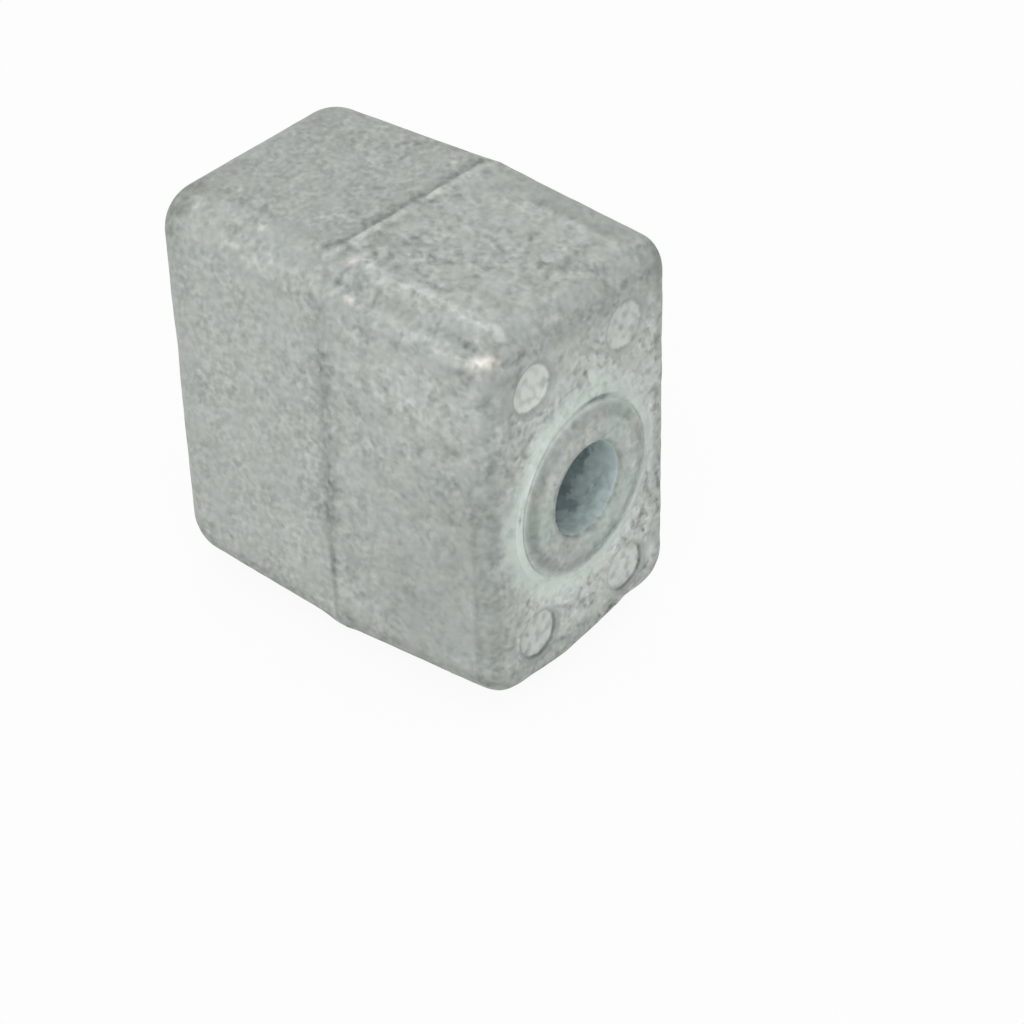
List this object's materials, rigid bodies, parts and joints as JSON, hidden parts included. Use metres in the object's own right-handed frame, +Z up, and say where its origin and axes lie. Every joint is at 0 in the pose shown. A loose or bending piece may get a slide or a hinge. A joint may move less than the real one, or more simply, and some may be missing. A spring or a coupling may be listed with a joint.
{
  "type": "sacrificial anode",
  "caption": "Cast block anode with a bolt bore along its length, a low boss for the washer and ejector marks on one end, and a parting line round its middle.",
  "frame": {"origin": "under the middle of the block, on the surface that it stands on", "axes": "+X along the bore towards the boss, +Z up along the block's tall side, +Y across"},
  "size_m": [0.0396, 0.025, 0.04],
  "materials": {
    "anode_alloy": "as cast, matt grey skin with fine grain"
  },
  "bodies": {
    "root": {"anode_block": "anode_alloy"}
  },
  "joints": []
}
